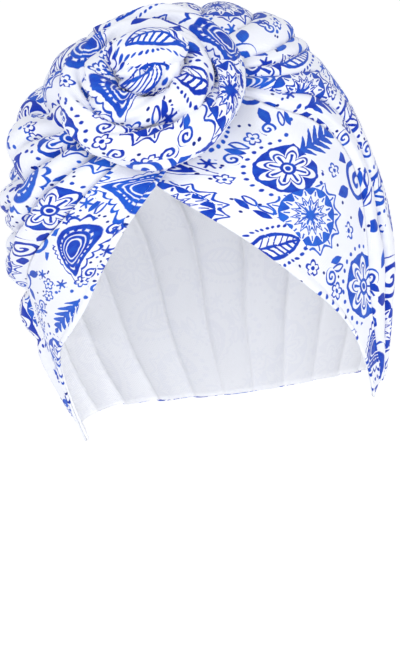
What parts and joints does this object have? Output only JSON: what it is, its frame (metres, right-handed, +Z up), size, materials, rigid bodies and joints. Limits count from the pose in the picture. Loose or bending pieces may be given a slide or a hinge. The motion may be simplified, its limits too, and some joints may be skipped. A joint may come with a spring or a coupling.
{
  "type": "turban headwrap",
  "caption": "Pleated cloth headwrap with two crossing front bands and a coiled cloth rosette over the brow, open at the face and neck.",
  "frame": {"origin": "inside top of the crown, where the wrap rests on the head that wears it", "axes": "+Z up, -Y towards the face opening and the rosette, +X towards the wide band"},
  "size_m": [0.1796, 0.2101, 0.2006],
  "materials": {
    "crown_cloth": "white jersey with a blue printed pattern",
    "band_cloth": "white jersey with a blue printed pattern",
    "rosette_cloth": "white jersey with a blue printed pattern"
  },
  "bodies": {
    "root": {"crown_cap": "crown_cloth", "front_band_right": "band_cloth", "front_band_left": "band_cloth", "rosette_coil": "rosette_cloth", "rosette_bud": "rosette_cloth"}
  },
  "joints": []
}
